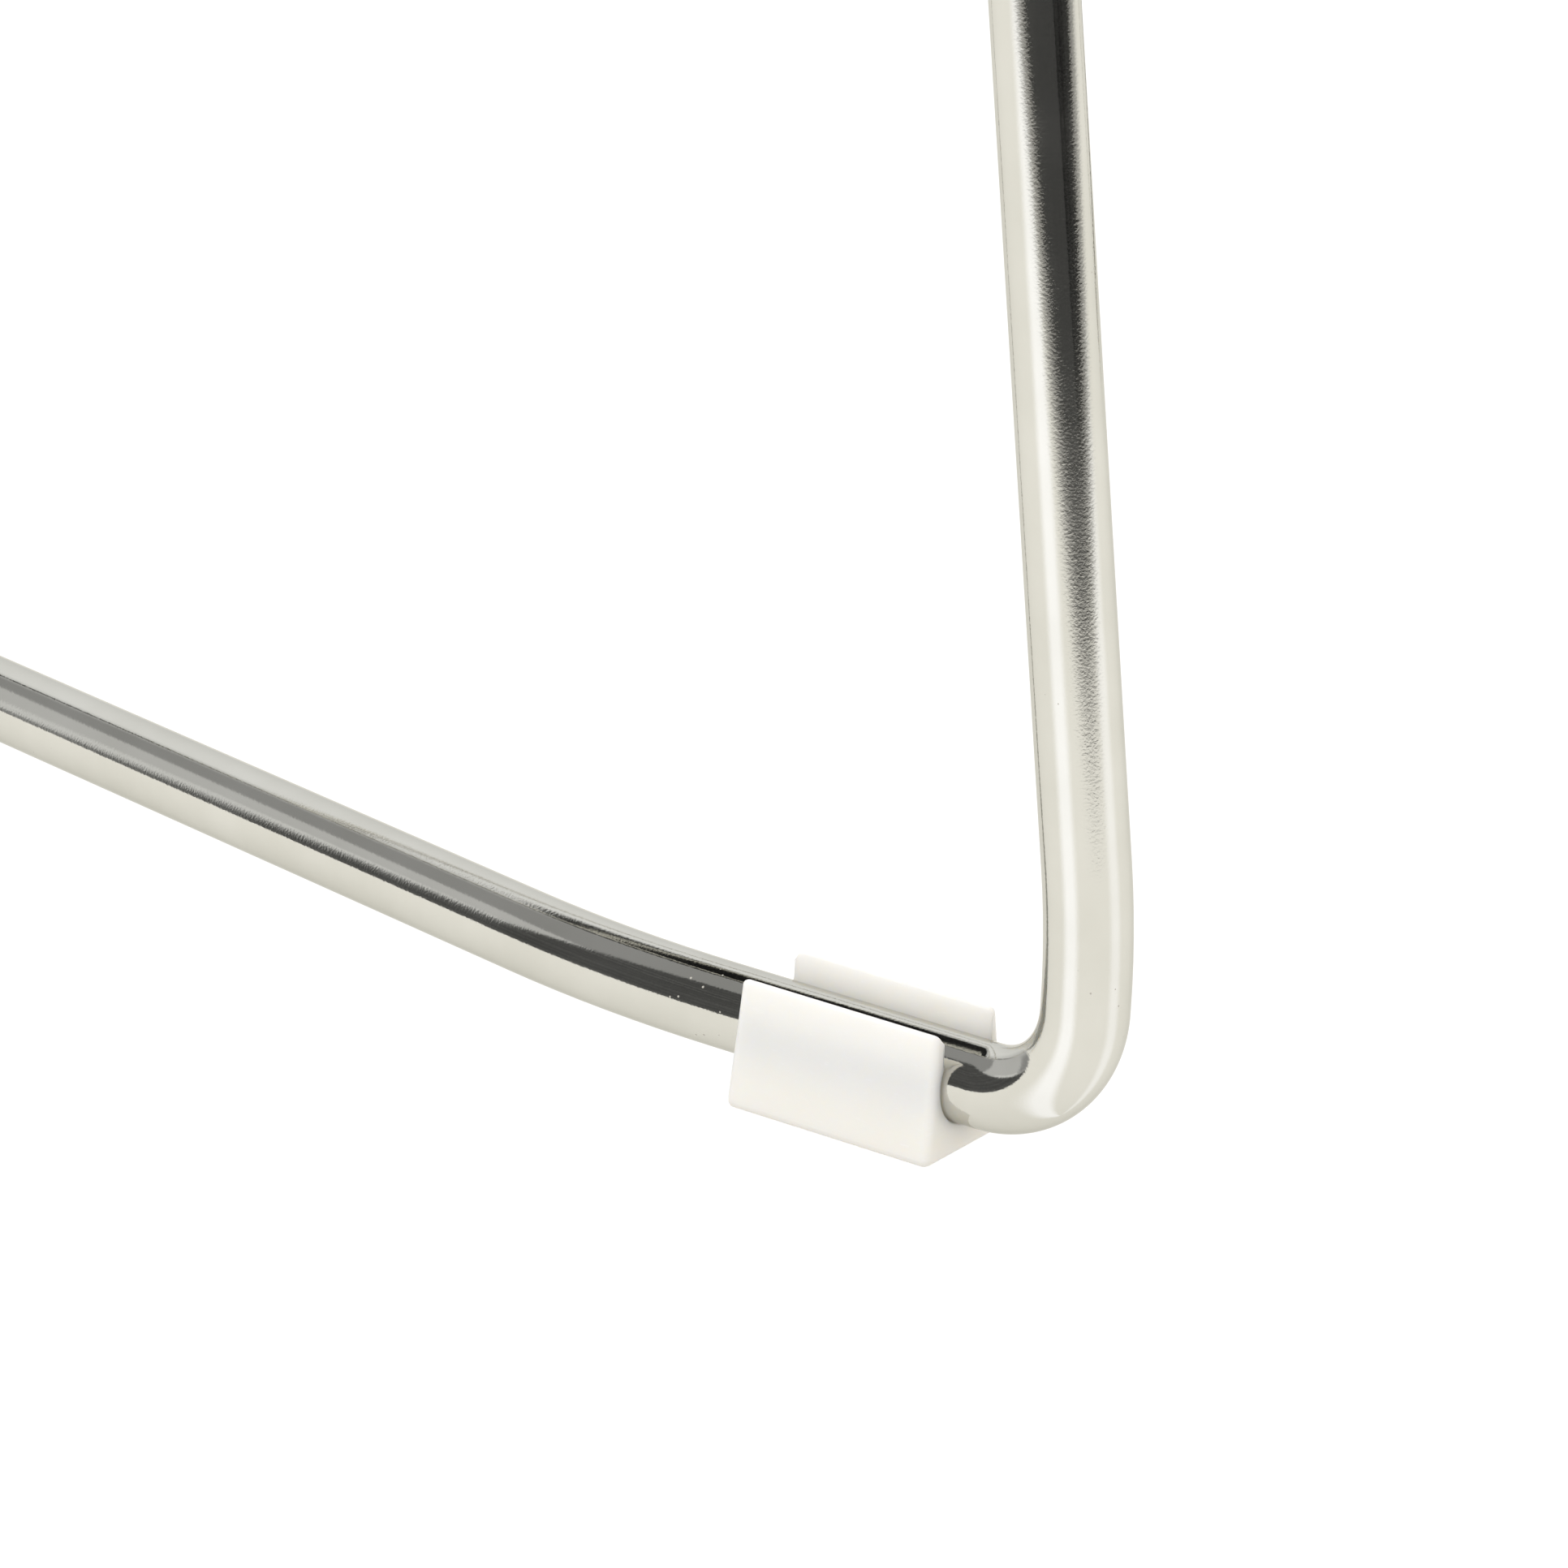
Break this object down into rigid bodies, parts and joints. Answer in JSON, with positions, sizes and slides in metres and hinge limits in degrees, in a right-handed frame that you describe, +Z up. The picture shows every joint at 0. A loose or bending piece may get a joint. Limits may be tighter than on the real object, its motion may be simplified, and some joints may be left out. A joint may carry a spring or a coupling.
{
  "type": "valet stand",
  "caption": "Chromed bar valet stand with nylon foot clips, a lift-off wooden hanger, swinging trouser rail, sliding tray and shoe rack.",
  "frame": {"origin": "on the floor, under the middle of the stand", "axes": "+Z up, +X to the right side frame, -Y to the front"},
  "size_m": [0.4676, 0.4114, 1.0378],
  "materials": {
    "chrome": "bright nickel-chrome plating on bent round bar",
    "nylon": "milky translucent moulded nylon",
    "wood": "oiled beech, walnut tone, satin",
    "felt": "dense wool felt",
    "sleeve": "matt ribbed rubber",
    "brass": "turned brass",
    "screw_steel": "zinc-plated steel"
  },
  "bodies": {
    "frame": {"collar_grub_screws": "screw_steel", "foot_clip_left_front": "nylon", "foot_clip_left_rear": "nylon", "foot_clip_right_front": "nylon", "foot_clip_right_rear": "nylon", "hanger_pin_left": "chrome", "hanger_pin_right": "chrome", "lower_frame_left": "chrome", "lower_frame_right": "chrome", "rail_collar_left": "chrome", "rail_collar_right": "chrome", "shoe_rod_1": "chrome", "shoe_rod_2": "chrome", "shoe_rod_3": "chrome", "shoe_rod_4": "chrome", "shoe_rod_screws": "screw_steel", "shoe_strap_left": "chrome", "shoe_strap_right": "chrome", "tray_rod_front": "chrome", "tray_rod_rear": "chrome", "tray_rod_screws": "screw_steel", "tray_strap_left": "chrome", "tray_strap_right": "chrome", "upper_crossbar": "chrome", "upper_crossbar_screws": "screw_steel", "upper_frame_left": "chrome", "upper_frame_right": "chrome", "upper_strap_left": "chrome", "upper_strap_right": "chrome"},
    "tray": {"tray_floor": "wood", "tray_front": "wood", "tray_lining": "felt", "tray_rear": "wood", "tray_side_left": "wood", "tray_side_right": "wood", "tray_stop_front": "wood", "tray_stop_rear": "wood", "tray_stop_screws": "screw_steel"},
    "trouser_rail": {"rail_arm_left": "chrome", "rail_arm_right": "chrome", "rail_bush_left": "nylon", "rail_bush_right": "nylon", "trouser_bar": "chrome", "trouser_bar_screws": "screw_steel", "trouser_bar_sleeve": "sleeve"},
    "hanger": {"hanger_body": "wood", "hanger_sleeve_left": "brass", "hanger_sleeve_right": "brass"}
  },
  "joints": [
    {"name": "tray_slide", "type": "slide", "parent": "frame", "child": "tray", "axis": [0, -1, 0], "range_m": [0, 0.05]},
    {"name": "trouser_rail_swing", "type": "hinge", "parent": "frame", "child": "trouser_rail", "pos_m": [0, 0, 0.86], "axis": [1, 0, 0], "range_deg": [-85, 85]},
    {"name": "hanger_lift", "type": "slide", "parent": "frame", "child": "hanger", "axis": [0, 0, 1], "range_m": [0, 0.04]}
  ]
}
